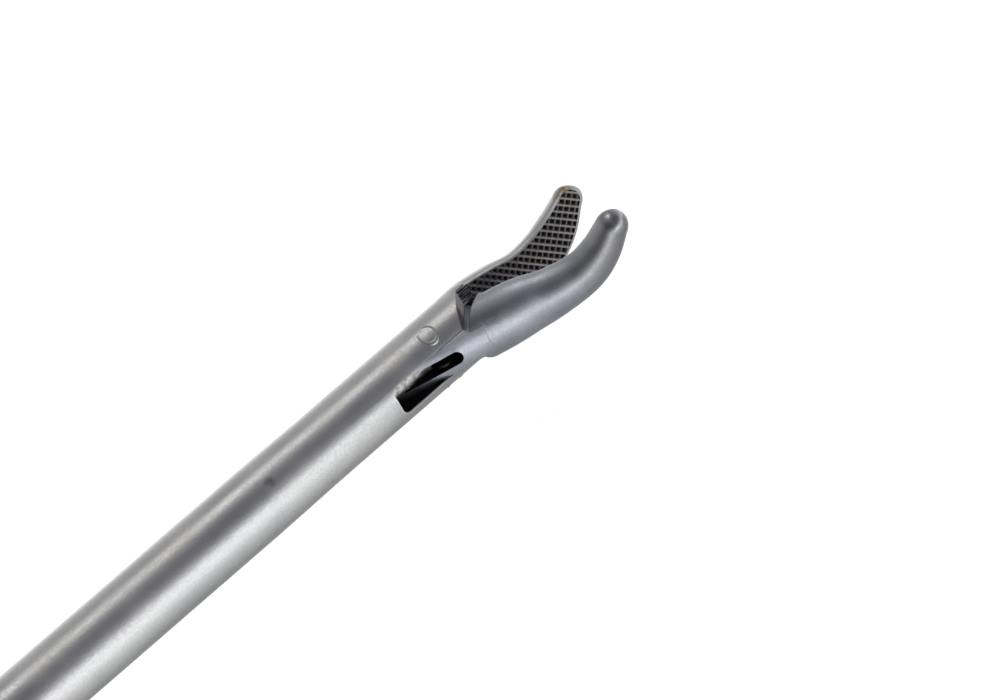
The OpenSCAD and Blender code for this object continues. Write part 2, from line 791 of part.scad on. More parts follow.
module lever_pivot_screw() {
    color(bright_steel)
        translate([-pivot_back, lever_arm, 0])
            difference() {
                union() {
                    translate([0, 0, -body_half + 0.2]) cylinder(h = body_thick - 0.4, d = pivot_d);
                    translate([0, 0, body_half - screw_head])
                        cylinder(h = screw_head - 0.1, d = screw_head_d);
                }
                translate([-5, -0.5, body_half - 1]) cube([10, 1, 2]);
            }
}

module yoke_pins() {
    inner = rod_d / 2 + 0.3 + 0.15;
    color(bright_steel)
        lever_open()
            yoke_pin_place()
                for (side = [0, 1])
                    mirror([0, 0, side])
                        translate([0, 0, inner]) cylinder(h = yoke_half - inner, d = yoke_pin_d);
}

// Curved bar about the lever pivot
module rack_bar() {
    translate([-pivot_back, lever_arm, -rack_thick / 2])
        rotate([0, 0, 180 + rack_high])
            rotate_extrude(angle = rack_low - rack_high, $fn = 360)
                translate([rack_radius - rack_width / 2, 0]) square([rack_width, rack_thick]);
}

module rack_pin_places() {
    for (a = rack_pin_angles)
        translate([-pivot_back, lever_arm, 0]) rotate([0, 0, 180 + a]) translate([rack_radius, 0, 0])
            children();
}

// Saw teeth on the rear side; their flat sides face down and hold the lever
module ratchet_rack() {
    color(steel)
        lever_open()
            difference() {
                rack_bar();
                for (i = [0:teeth - 1])
                    translate([-pivot_back, lever_arm, 0])
                        rotate([0, 0, 180 + first_tooth + tooth_step * i])
                            side_extrude(rack_thick)
                                polygon([[rack_outer + 0.2, -0.1 * tooth_pitch],
                                         [rack_outer - tooth_depth, 0],
                                         [rack_outer + 0.2, 0.85 * tooth_pitch]]);
                rack_pin_places() cylinder(h = 30, d = rack_pin_d, center = true);
            }
}

module rack_pins() {
    color(bright_steel)
        lever_open()
            rack_pin_places() cylinder(h = lever_thick - 0.2, d = rack_pin_d, center = true);
}

// The pawl is drawn in mesh, then swung clear of the rack
module ratchet_pawl() {
    tip_x = -pivot_back - bite_r * cos(bite_angle);
    tip_y = lever_arm - bite_r * sin(bite_angle);
    color(steel)
        translate([-pawl_x, pawl_y, 0]) rotate([0, 0, pawl_angle]) translate([pawl_x, -pawl_y, 0])
            difference() {
                union() {
                    translate([-pawl_x, pawl_y, -pawl_half]) cylinder(h = 2 * pawl_half, r = pawl_hub);
                    side_extrude(pawl_half)
                        polygon([[tip_x, tip_y - 0.05], [tip_x - 1, tip_y - 0.02], [tip_x - 3.6, tip_y + 0.4],
                                 [-pawl_x - 1.2, pawl_y + 1.2], [-pawl_x + 1.2, pawl_y - 1.2],
                                 [tip_x - 0.9, tip_y - 2.6], [tip_x - 0.75, tip_y - 0.7],
                                 [tip_x, tip_y - 0.18]]);
                    side_extrude(pawl_half)
                        polygon([[-pawl_x + 0.9, pawl_y + 1.5], [-pawl_x - 0.9, pawl_y - 1.5],
                                 [-pawl_x - tab_rear + 0.2, pawl_y + tab_foot],
                                 [-pawl_x - tab_rear, pawl_y + tab_edge],
                                 [-pawl_x - tab_front - 0.6, pawl_y + tab_top],
                                 [-pawl_x - tab_front, pawl_y + tab_edge],
                                 [-pawl_x - tab_rear + tab_neck + 0.2, pawl_y + tab_foot]]);
                }
                translate([-pawl_x, pawl_y, 0])
                    cylinder(h = 30, d = pawl_pin_d + 2 * running, center = true);
            }
}

module pawl_pin() {
    color(bright_steel)
        translate([-pawl_x, pawl_y, 0]) cylinder(h = body_thick - 0.2, d = pawl_pin_d, center = true);
}

module pawl_spring() {
    color(spring_steel)
        side_extrude(strip_half) polygon(strip(strip_front, strip_rear, strip_thick / 2));
}

jaw_housing();
fixed_jaw_insert();
moving_jaw();
moving_jaw_insert();
jaw_pivot_stubs();
drive_pin();
pull_rod();
shaft_tube();
shaft_ferrule();
collar_nut();
rod_seal();
seal_gland();
rod_spool();
spool_nut();
return_spring();
handle_body();
lever();
lever_pivot_screw();
yoke_pins();
ratchet_rack();
rack_pins();
ratchet_pawl();
pawl_pin();
pawl_spring();
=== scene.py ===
import json
import math

import bmesh
import bpy
from mathutils import Matrix, Vector

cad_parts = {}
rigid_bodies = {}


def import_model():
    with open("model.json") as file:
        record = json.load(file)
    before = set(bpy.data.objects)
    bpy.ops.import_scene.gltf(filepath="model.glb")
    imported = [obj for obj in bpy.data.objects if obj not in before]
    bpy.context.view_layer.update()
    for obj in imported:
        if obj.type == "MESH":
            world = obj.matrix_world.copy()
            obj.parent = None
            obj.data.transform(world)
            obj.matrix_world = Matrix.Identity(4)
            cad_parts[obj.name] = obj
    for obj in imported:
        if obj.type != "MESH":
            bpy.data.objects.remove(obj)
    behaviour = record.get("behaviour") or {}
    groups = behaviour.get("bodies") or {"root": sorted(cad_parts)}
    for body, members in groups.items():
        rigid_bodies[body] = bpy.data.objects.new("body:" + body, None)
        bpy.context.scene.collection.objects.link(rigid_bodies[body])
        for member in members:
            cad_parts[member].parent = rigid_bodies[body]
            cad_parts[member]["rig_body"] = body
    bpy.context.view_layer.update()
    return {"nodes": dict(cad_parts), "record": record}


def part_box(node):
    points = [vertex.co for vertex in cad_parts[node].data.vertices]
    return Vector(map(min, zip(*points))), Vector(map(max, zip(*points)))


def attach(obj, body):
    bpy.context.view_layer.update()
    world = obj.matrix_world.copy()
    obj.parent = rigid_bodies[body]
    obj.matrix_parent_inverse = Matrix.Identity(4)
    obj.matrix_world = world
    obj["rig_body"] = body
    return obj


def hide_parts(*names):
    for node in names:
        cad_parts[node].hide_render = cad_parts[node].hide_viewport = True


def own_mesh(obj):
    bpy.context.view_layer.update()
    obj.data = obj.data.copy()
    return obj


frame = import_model()
nodes = frame["nodes"]
scene = bpy.context.scene

MM = 0.001
HINGE_X = 315.15 * MM
HINGE_Y = -1.26 * MM
OPEN_ANGLE = math.radians(25.5)
SHAFT_R = 2.5 * MM
HOUSING_R = 2.43 * MM
FLOOR_Z = -7.0 * MM
KNURL_PITCH = 0.46 * MM


# Materials

class Finish:
    """One node material, built up step by step."""

    def __init__(self, name, colour, metallic, roughness):
        self.material = bpy.data.materials.new(name)
        self.material.use_nodes = True
        self.tree = self.material.node_tree
        self.shader = self.tree.nodes["Principled BSDF"]
        self.shader.inputs["Base Color"].default_value = (*colour, 1)
        self.shader.inputs["Metallic"].default_value = metallic
        self.shader.inputs["Roughness"].default_value = roughness
        self.place = self.tree.nodes.new("ShaderNodeTexCoord").outputs["Object"]

    def node(self, kind, **settings):
        made = self.tree.nodes.new(kind)
        for key, value in settings.items():
            setattr(made, key, value)
        return made

    def link(self, source, target):
        self.tree.links.new(source, target)

    def mapped(self, location=(0, 0, 0), rotation=(0, 0, 0), scale=(1, 1, 1), order="POINT"):
        mapping = self.node("ShaderNodeMapping", vector_type=order)
        mapping.inputs["Location"].default_value = location
        mapping.inputs["Rotation"].default_value = rotation
        mapping.inputs["Scale"].default_value = scale
        self.link(self.place, mapping.inputs["Vector"])
        return mapping.outputs["Vector"]

    def noise(self, scale, detail=2.0, roughness=0.5, vector=None):
        noise = self.node("ShaderNodeTexNoise")
        noise.inputs["Scale"].default_value = scale
        noise.inputs["Detail"].default_value = detail
        noise.inputs["Roughness"].default_value = roughness
        self.link(vector or self.place, noise.inputs["Vector"])
        return noise.outputs["Fac"]

    def ramp(self, source, low, high, from_value=0.0, to_value=1.0, smooth=False):
        """Maps source between low and high to from_value and to_value, clamped."""
        ranged = self.node("ShaderNodeMapRange", clamp=True)
        if smooth:
            ranged.interpolation_type = "SMOOTHSTEP"
        ranged.inputs["From Min"].default_value = low
        ranged.inputs["From Max"].default_value = high
        ranged.inputs["To Min"].default_value = from_value
        ranged.inputs["To Max"].default_value = to_value
        self.link(source, ranged.inputs["Value"])
        return ranged.outputs["Result"]

    def maths(self, operation, first, second=None):
        step = self.node("ShaderNodeMath", operation=operation)
        for socket, value in zip(step.inputs, (first, second)):
            if value is None:
                continue
            if isinstance(value, (int, float)):
                socket.default_value = value
            else:
                self.link(value, socket)
        return step.outputs["Value"]

    def parts(self, vector=None):
        split = self.node("ShaderNodeSeparateXYZ")
        self.link(vector or self.place, split.inputs["Vector"])
        return split.outputs["X"], split.outputs["Y"], split.outputs["Z"]

    def mix(self, factor, first, second):
        """Colour between first and second; each is a colour or a socket."""
        mixed = self.node("ShaderNodeMix", data_type="RGBA")
        colours = [s for s in mixed.inputs if s.type == "RGBA"]
        self.link(factor, mixed.inputs["Factor"])
        for socket, value in zip(colours, (first, second)):
            if isinstance(value, tuple):
                socket.default_value = (*value, 1)
            else:
                self.link(value, socket)
        return [s for s in mixed.outputs if s.type == "RGBA"][0]

    def colour(self, socket):
        self.link(socket, self.shader.inputs["Base Color"])

    def roughness(self, socket):
        self.link(socket, self.shader.inputs["Roughness"])

    def bump(self, height, distance, strength=1.0, after=None):
        bump = self.node("ShaderNodeBump")
        bump.inputs["Distance"].default_value = distance
        bump.inputs["Strength"].default_value = strength
        self.link(height, bump.inputs["Height"])
        if after is not None:
            self.link(after, bump.inputs["Normal"])
        self.link(bump.outputs["Normal"], self.shader.inputs["Normal"])
        return bump.outputs["Normal"]


def from_axis(f, y, z):
    """Distance from the shaft axis."""
    return f.maths("SQRT", f.maths("ADD", f.maths("MULTIPLY", y, y), f.maths("MULTIPLY", z, z)))


def blasted_steel(name, light, dark, roughness=0.34):
    """Bead-blasted stainless steel: a fine even grain, faint clouds and a few pits."""
    f = Finish(name, light, 1.0, roughness)
    clouds = f.noise(260, 3, 0.6)
    grain = f.noise(6500, 3, 0.7)
    pits = f.ramp(f.noise(2600, 2, 0.6), 0.76, 0.8)
    base = f.mix(f.ramp(clouds, 0.35, 0.7), dark, light)
    base = f.mix(f.ramp(grain, 0.42, 0.62, 0.0, 0.22), base, tuple(0.55 * c for c in dark))
    f.base = f.mix(f.maths("MULTIPLY", pits, 0.6), base, (0.2, 0.19, 0.18))
    f.rough = f.maths("ADD", f.ramp(clouds, 0.3, 0.75, roughness - 0.05, roughness + 0.06),
                      f.ramp(grain, 0.3, 0.7, -0.04, 0.08))
    f.colour(f.base)
    f.roughness(f.rough)
    f.grain_bump = f.bump(grain, 0.012 * MM, 0.8)
    return f


def brushed_steel(name, light, dark, along=(1, 1, 1), roughness=0.3):
    """Satin steel with fine lines along one direction."""
    f = Finish(name, light, 1.0, roughness)
    lines = f.noise(900, 4, 0.7, f.mapped(scale=along))
    clouds = f.noise(120, 2)
    f.colour(f.mix(f.ramp(clouds, 0.35, 0.7), dark, light))
    f.roughness(f.maths("ADD", f.ramp(lines, 0.3, 0.7, roughness - 0.06, roughness + 0.08),
                        f.ramp(clouds, 0.3, 0.7, -0.03, 0.03)))
    f.bump(lines, 0.01 * MM, 0.35)
    return f


def turned_steel(name, light, dark, roughness=0.28):
    """Turned steel: fine rings round the X axis."""
    return brushed_steel(name, light, dark, along=(3.5, 0.12, 0.12), roughness=roughness)


def spot(f, place, full, none):
    """1 within full of a place and 0 beyond none, in millimetres."""
    gap = f.node("ShaderNodeVectorMath", operation="DISTANCE")
    f.link(f.place, gap.inputs[0])
    gap.inputs[1].default_value = place
    return f.ramp(gap.outputs["Value"], full * MM, none * MM, 1.0, 0.0, smooth=True)


def housing_steel():
    """The jaw housing: blasted outside, painted shade inside the slot, milled marks on the land, a painted
    highlight on the slot's lips, painted light and shade on the cheek ends.
    """
    f = blasted_steel("housing_blasted_steel", (0.74, 0.74, 0.735), (0.63, 0.633, 0.645))
    x, y, z = f.parts()
    # Painted shade: inside the slot the steel is painted near black
    inside = f.ramp(from_axis(f, y, z), 2.26 * MM, 2.34 * MM, 1.0, 0.0)
    behind = f.ramp(x, HINGE_X + 1.6 * MM, HINGE_X + 2.6 * MM, 1.0, 0.0)
    painted_slot_shade = f.maths("MULTIPLY", inside, behind)
    land = f.maths("MULTIPLY", f.ramp(y, 0.03 * MM, 0.06 * MM, 1.0, 0.0),
                   f.maths("MULTIPLY", f.ramp(x, HINGE_X + 3.6 * MM, HINGE_X + 3.66 * MM),
                           f.ramp(x, HINGE_X + 4.6 * MM, HINGE_X + 4.7 * MM, 1.0, 0.0)))
    land = f.maths("MULTIPLY", land, f.ramp(y, -0.02 * MM, 0.0))
    stripes = f.noise(1, 1, 0.5, f.mapped(rotation=(0, math.radians(28), 0), scale=(900, 900, 9000)))
    hatch = f.mix(f.ramp(stripes, 0.48, 0.6), (0.07, 0.075, 0.095), (0.7, 0.7, 0.76))
    near_tip = spot(f, (HINGE_X + 13.7 * MM, 0.1 * MM, 2.75 * MM), 0.35, 1.05)
    stain = f.maths("MULTIPLY", near_tip, f.ramp(f.noise(1500, 3), 0.3, 0.6, 0.35, 1.0))
    dents = f.maths("MAXIMUM", spot(f, (HINGE_X - 14.8 * MM, -1.78 * MM, 1.71 * MM), 0.1, 0.55),
                    spot(f, (HINGE_X - 11.5 * MM, -2.44 * MM, 0.24 * MM), 0.02, 0.16))
    dents = f.maths("MAXIMUM", dents, spot(f, (HINGE_X - 11.2 * MM, -2.08 * MM, -1.29 * MM), 0.04, 0.25))
    dents = f.maths("MULTIPLY", dents, f.ramp(f.noise(2400, 3), 0.4, 0.6, 0.1, 0.6))
    # Painted highlight along both sides and the closed end of the slot
    end = f.maths("MINIMUM", f.maths("SUBTRACT", x, HINGE_X - 3.92 * MM), 0.0)
    beyond = f.maths("SUBTRACT", f.maths("ABSOLUTE", z), 0.5 * MM)
    painted_lip_highlight = f.maths("MULTIPLY", f.ramp(from_axis(f, end, beyond), 0.66 * MM, 0.72 * MM, 1.0, 0.0),
                  f.ramp(y, -0.9 * MM, -0.8 * MM, 1.0, 0.0))
    painted_lip_highlight = f.maths("MULTIPLY", painted_lip_highlight, f.ramp(x, HINGE_X + 3.0 * MM, HINGE_X + 3.2 * MM, 1.0, 0.0))
    # Sloped ends of the cheeks: painted light near the axis, painted shade further out
    ahead = f.maths("SUBTRACT", f.maths("SUBTRACT", x, HINGE_X + 3.7 * MM), f.maths("MULTIPLY", y, 0.78))
    end_face = f.maths("MULTIPLY", f.ramp(f.maths("ABSOLUTE", ahead), 0.02 * MM, 0.04 * MM, 1.0, 0.0),
                       f.ramp(y, -0.05 * MM, -0.02 * MM, 1.0, 0.0))
    painted_end_light_shade = f.mix(f.ramp(y, -1.25 * MM, -0.85 * MM), (0.16, 0.15, 0.17), (0.8, 0.72, 0.72))
    colour = f.mix(land, f.base, hatch)
    colour = f.mix(f.maths("MULTIPLY", painted_lip_highlight, 0.8), colour, (0.85, 0.85, 0.84))
    colour = f.mix(end_face, colour, painted_end_light_shade)
    colour = f.mix(dents, colour, (0.2, 0.19, 0.17))
    colour = f.mix(stain, colour, (0.26, 0.19, 0.1))
    f.colour(f.mix(painted_slot_shade, colour, (0.012, 0.011, 0.012)))
    f.roughness(f.maths("ADD", f.rough, f.maths("MULTIPLY", painted_slot_shade, 0.35)))
    f.link(f.maths("SUBTRACT", 1.0, f.maths("MULTIPLY", end_face, 0.8)), f.shader.inputs["Metallic"])
    return f


def jaw_steel():
    """The moving jaw: cooler blasted steel, painted shade in the fork and cam slot and in a thin line at the root,
    a browned patch near the tip.
    """
    f = blasted_steel("jaw_blasted_steel", (0.62, 0.645, 0.7), (0.48, 0.505, 0.57), 0.35)
    turned = f.node("ShaderNodeVectorRotate", rotation_type="Z_AXIS")
    f.link(f.place, turned.inputs["Vector"])
    turned.inputs["Center"].default_value = (HINGE_X, HINGE_Y, 0)
    turned.inputs["Angle"].default_value = OPEN_ANGLE
    x, y, z = f.parts(turned.outputs["Vector"])
    # Painted shade: the fork and cam slot are painted near black
    ahead = f.maths("MAXIMUM", f.maths("SUBTRACT", x, HINGE_X + 0.975 * MM), 0.0)
    fork = f.ramp(from_axis(f, ahead, z), 0.478 * MM, 0.49 * MM, 1.0, 0.0)
    brown = f.maths("MULTIPLY", f.ramp(x, HINGE_X + 8.5 * MM, HINGE_X + 12.5 * MM, 0.0, 0.4, smooth=True),
                    f.ramp(f.noise(180, 3), 0.3, 0.7, 0.5, 1.0))
    specks = f.maths("MULTIPLY", spot(f, (HINGE_X + 11.7 * MM, -5.6 * MM, -0.7 * MM), 0.3, 1.0),
                     f.ramp(f.noise(3800, 3, 0.7), 0.57, 0.64))
    # Painted shade: a thin dark line along the sloped face at the jaw's root
    painted_shoulder_shade = f.maths("SUBTRACT", f.maths("SUBTRACT", x, HINGE_X + 4.12 * MM),
                       f.maths("MULTIPLY", f.maths("MINIMUM", y, 0.0), 0.78))
    painted_shoulder_shade = f.maths("MULTIPLY", f.ramp(f.maths("ABSOLUTE", painted_shoulder_shade), 0.03 * MM, 0.05 * MM, 1.0, 0.0),
                       f.ramp(f.maths("ABSOLUTE", z), 1.07 * MM, 1.1 * MM))
    colour = f.mix(brown, f.base, (0.3, 0.26, 0.23))
    colour = f.mix(f.maths("MULTIPLY", painted_shoulder_shade, 0.8), colour, (0.08, 0.08, 0.1))
    colour = f.mix(f.maths("MULTIPLY", specks, 0.85), colour, (0.05, 0.045, 0.05))
    f.colour(f.mix(fork, colour, (0.012, 0.011, 0.012)))
    nose = f.ramp(x, HINGE_X + 13.9 * MM, HINGE_X + 14.7 * MM, 0.0, 0.17, smooth=True)
    f.roughness(f.maths("SUBTRACT", f.maths("ADD", f.rough, f.maths("MULTIPLY", fork, 0.3)), nose))
    return f


def carbide(name, turned, reach):
    """Knurled carbide: painted highlights on the ridges, painted shade down the slopes into near-black pits, by
    depth below the gripping face.
    """
    f = Finish(name, (0.3, 0.27, 0.24), 1.0, 0.38)
    where = f.place
    if turned:
        swung = f.node("ShaderNodeVectorRotate", rotation_type="Z_AXIS")
        f.link(f.place, swung.inputs["Vector"])
        swung.inputs["Center"].default_value = (HINGE_X, HINGE_Y, 0)
        swung.inputs["Angle"].default_value = OPEN_ANGLE
        where = swung.outputs["Vector"]
    x, y, z = f.parts(where)
    grit = f.noise(5200, 3, 0.7)
    depth = f.maths("SUBTRACT", f.maths("ABSOLUTE", y), 0.015 * MM)
    depth = f.maths("ADD", depth, f.ramp(grit, 0.3, 0.7, -0.012 * MM, 0.02 * MM))
    # Painted highlight: the rows across the jaw are painted bright, the rows along it stay dull
    middle = HINGE_X + (4.6 + reach) / 2 * MM + 0.6 * MM
    row = f.maths("MULTIPLY", f.maths("SUBTRACT", f.maths("ADD", x, z), middle),
                  math.tau / (KNURL_PITCH * math.sqrt(2)))
    painted_row_highlight = f.ramp(f.maths("COSINE", row), -0.35, -0.8)
    top = f.mix(painted_row_highlight, (0.19, 0.19, 0.23), (0.56, 0.5, 0.41))
    top = f.mix(f.ramp(f.noise(420, 2), 0.35, 0.7, 0.0, 0.7), top, (0.24, 0.225, 0.215))
    # Painted shade: darker down the slopes, near black at the bottom of the pits
    painted_slope_shade = f.mix(f.ramp(depth, 0.0, 0.045 * MM), top, (0.11, 0.11, 0.145))
    f.colour(f.mix(f.ramp(depth, 0.05 * MM, 0.13 * MM), painted_slope_shade, (0.022, 0.022, 0.032)))
    f.roughness(f.ramp(grit, 0.3, 0.7, 0.3, 0.5))
    f.bump(grit, 0.01 * MM, 0.6)
    return f


def rough_milled():
    """The rod's tongue: bright, coarse and uneven from milling."""
    f = Finish("rod_milled_steel", (0.7, 0.7, 0.68), 1.0, 0.36)
    chips = f.noise(2600, 4, 0.75, f.mapped(rotation=(0, 0, math.radians(60)), scale=(1.0, 0.35, 1.0)))
    fine = f.noise(7000, 2)
    f.colour(f.mix(f.ramp(chips, 0.38, 0.6), (0.3, 0.3, 0.29), (0.82, 0.82, 0.79)))
    f.roughness(f.ramp(fine, 0.3, 0.7, 0.28, 0.5))
    f.bump(chips, 0.06 * MM, 0.9)
    return f


def rubber():
    f = Finish("seal_rubber", (0.02, 0.02, 0.022), 0.0, 0.55)
    speck = f.noise(3000, 2)
    f.roughness(f.ramp(speck, 0.3, 0.7, 0.48, 0.62))
    f.bump(speck, 0.01 * MM, 0.3)
    return f


finishes = {
    "housing": housing_steel(),
    "jaw": jaw_steel(),
    "tube": blasted_steel("tube_satin_steel", (0.74, 0.74, 0.735), (0.65, 0.652, 0.66)),
    "fixed_carbide": carbide("fixed_insert_carbide", False, 14.85),
    "moving_carbide": carbide("moving_insert_carbide", True, 15.25),
    "rod": rough_milled(),
    "turned": turned_steel("turned_steel", (0.66, 0.66, 0.67), (0.56, 0.57, 0.59)),
    "handle": brushed_steel("handle_brushed_steel", (0.84, 0.84, 0.85), (0.74, 0.745, 0.76), (0.12, 1.6, 1.6), 0.4),
    "lever": brushed_steel("lever_brushed_steel", (0.84, 0.84, 0.85), (0.74, 0.745, 0.76), (0.12, 1.6, 1.6), 0.36),
    "spring": turned_steel("spring_steel", (0.5, 0.5, 0.53), (0.4, 0.4, 0.43), 0.3),
    "weld": blasted_steel("weld_bead_steel", (0.82, 0.8, 0.76), (0.68, 0.66, 0.62), 0.3),
    "rubber": rubber(),
}

node_finish = {
    "jaw_housing": "housing", "moving_jaw": "jaw", "shaft_tube": "tube", "jaw_pivot_stubs": "tube",
    "fixed_jaw_insert": "fixed_carbide", "moving_jaw_insert": "moving_carbide", "pull_rod": "rod",
    "drive_pin": "turned", "shaft_ferrule": "turned", "collar_nut": "turned", "seal_gland": "turned",
    "rod_spool": "turned", "spool_nut": "turned", "return_spring": "spring", "rod_seal": "rubber",
    "handle_body": "handle", "lever": "lever", "lever_pivot_screw": "turned", "yoke_pins": "turned",
    "ratchet_rack": "turned", "rack_pins": "turned", "ratchet_pawl": "turned", "pawl_pin": "turned",
    "pawl_spring": "spring",
}


def give_finish(obj, finish):
    obj.data.materials.clear()
    obj.data.materials.append(finishes[finish].material)


for name, finish in node_finish.items():
    give_finish(nodes[name], finish)


# Pieces with smooth surfaces in place of the CAD facets

node_slot = {part["node"]: part["material_slot"] for part in frame["record"]["subparts"]}


def new_piece(name, bm, finish, body, slot, *replaced):
    mesh = bpy.data.meshes.new(name)
    bm.to_mesh(mesh)
    bm.free()
    piece = bpy.data.objects.new(name, mesh)
    scene.collection.objects.link(piece)
    mesh.materials.append(finishes[finish].material)
    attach(piece, body)
    if replaced:
        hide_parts(*replaced)
    return piece


def soften(bm, angle):
    """Smooth shading, with edges sharper than angle kept crisp."""
    for face in bm.faces:
        face.smooth = True
    for edge in bm.edges:
        edge.smooth = len(edge.link_faces) == 2 and edge.calc_face_angle(0) < math.radians(angle)


def smooth_copy(node, finish, angle=32, ledge=None):
    """A merged copy of a CAD node with soft shading, which stands for the node.

    ledge is a test for the points of a hair-fine ledge that is closed up.
    """
    bm = bmesh.new()
    bm.from_mesh(nodes[node].data)
    bmesh.ops.remove_doubles(bm, verts=bm.verts, dist=0.0004 * MM)
    if ledge is not None:
        bmesh.ops.remove_doubles(bm, verts=[v for v in bm.verts if ledge(v.co)], dist=0.035 * MM)
    bmesh.ops.dissolve_degenerate(bm, edges=bm.edges, dist=0.0002 * MM)
    soften(bm, angle)
    return new_piece(node + "_skin", bm, finish, nodes[node]["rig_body"], node_slot[node], node)


def at_jaw_root(place):
    """True where the round outside of the tang runs into the jaw."""
    closed = Matrix.Rotation(OPEN_ANGLE, 3, "Z") @ (place - Vector((HINGE_X, HINGE_Y, 0)))
    return 4.3 * MM < closed.x < 4.65 * MM and closed.y < 0.5 * MM


smooth_copy("jaw_housing", "housing")
smooth_copy("moving_jaw", "jaw", ledge=at_jaw_root)
smooth_copy("handle_body", "handle", 24)
smooth_copy("lever", "lever", 24)
smooth_copy("collar_nut", "turned", 24)

# The spring gets a mesh of its own
spring = smooth_copy("return_spring", "spring", 60)
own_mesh(spring)


def tube_piece():
    """The shaft tube: one long sleeve, open at both ends."""
    low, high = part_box("shaft_tube")
    bm = bmesh.new()
    profile = [(low.x, 2.0 * MM), (low.x, 2.42 * MM), (low.x + 0.08 * MM, SHAFT_R),
               (high.x, SHAFT_R), (high.x, 2.0 * MM)]
    ring = [bm.verts.new((x, 0, r)) for x, r in profile]
    edges = [bm.edges.new((ring[i], ring[(i + 1) % len(ring)])) for i in range(len(ring))]
    bmesh.ops.spin(bm, geom=ring + edges, cent=(0, 0, 0), axis=(1, 0, 0), angle=math.tau,
                   steps=96, use_merge=True)
    bmesh.ops.remove_doubles(bm, verts=bm.verts, dist=0.0004 * MM)
    bmesh.ops.recalc_face_normals(bm, faces=bm.faces)
    soften(bm, 32)
    return new_piece("shaft_tube_skin", bm, "tube", nodes["shaft_tube"]["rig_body"],
                     node_slot["shaft_tube"], "shaft_tube")


tube_piece()


def rod_piece():
    """The pull rod, round, with its flat tongue milled on both sides."""
    low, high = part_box("pull_rod")
    tongue = high.x - 7 * MM
    half = 0.445 * MM
    bm = bmesh.new()
    bmesh.ops.create_circle(bm, cap_ends=True, segments=64, radius=1.0 * MM)
    bmesh.ops.rotate(bm, verts=bm.verts, matrix=Matrix.Rotation(math.pi / 2, 3, "Y"))
    bmesh.ops.translate(bm, verts=bm.verts, vec=(low.x, 0, 0))
    end = bmesh.ops.extrude_face_region(bm, geom=bm.faces[:])
    bmesh.ops.translate(bm, verts=[v for v in end["geom"] if isinstance(v, bmesh.types.BMVert)],
                        vec=(high.x - low.x, 0, 0))
    bmesh.ops.bisect_plane(bm, geom=bm.verts[:] + bm.edges[:] + bm.faces[:], plane_co=(tongue, 0, 0),
                           plane_no=(1, 0, 0))
    for side in (1, -1):
        geom = {g for f in bm.faces if f.calc_center_median().x > tongue + 0.01 * MM
                for g in [f, *f.edges, *f.verts]}
        bmesh.ops.bisect_plane(bm, geom=list(geom), plane_co=(0, 0, side * half),
                               plane_no=(0, 0, side))
    for vert in bm.verts:
        if vert.co.x > tongue + 0.01 * MM:
            vert.co.z = max(-half, min(half, vert.co.z))
    bmesh.ops.remove_doubles(bm, verts=bm.verts, dist=0.0004 * MM)
    bmesh.ops.dissolve_degenerate(bm, edges=bm.edges, dist=0.0004 * MM)
    bmesh.ops.recalc_face_normals(bm, faces=bm.faces)
    soften(bm, 32)
    return new_piece("pull_rod_skin", bm, "rod", nodes["pull_rod"]["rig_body"],
                     node_slot["pull_rod"], "pull_rod")


rod_piece()


def weld_ring(name, side):
    """Raised open ring of weld round one hinge stub, lying on the housing's surface."""
    bm = bmesh.new()
    ring_r, bead = 0.6 * MM, 0.1 * MM
    bmesh.ops.create_circle(bm, cap_ends=False, segments=12, radius=bead)
    bmesh.ops.rotate(bm, verts=bm.verts, matrix=Matrix.Rotation(math.pi / 2, 3, "X"))
    bmesh.ops.translate(bm, verts=bm.verts, vec=(ring_r, 0, 0))
    bmesh.ops.rotate(bm, verts=bm.verts, matrix=Matrix.Rotation(math.radians(150), 3, "Z"))
    bmesh.ops.spin(bm, geom=bm.verts[:] + bm.edges[:], cent=(0, 0, 0), axis=(0, 0, 1),
                   angle=math.radians(285), steps=48, use_duplicate=False)
    bmesh.ops.holes_fill(bm, edges=[e for e in bm.edges if e.is_boundary], sides=0)
    for vert in bm.verts:
        around = math.atan2(vert.co.y, vert.co.x)
        lift = vert.co.z * (0.7 + 0.25 * math.sin(3 * around))
        y = vert.co.y + HINGE_Y
        surface = math.sqrt(max(HOUSING_R ** 2 - y * y, 0))
        vert.co = Vector((vert.co.x + HINGE_X, y, side * (surface - 0.025 * MM + lift)))
    bmesh.ops.recalc_face_normals(bm, faces=bm.faces)
    soften(bm, 60)
    return new_piece(name, bm, "weld", nodes["jaw_pivot_stubs"]["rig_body"],
                     node_slot["jaw_pivot_stubs"])


weld_ring("weld_ring_upper", 1)
weld_ring("weld_ring_lower", -1)


# Stage, light and camera

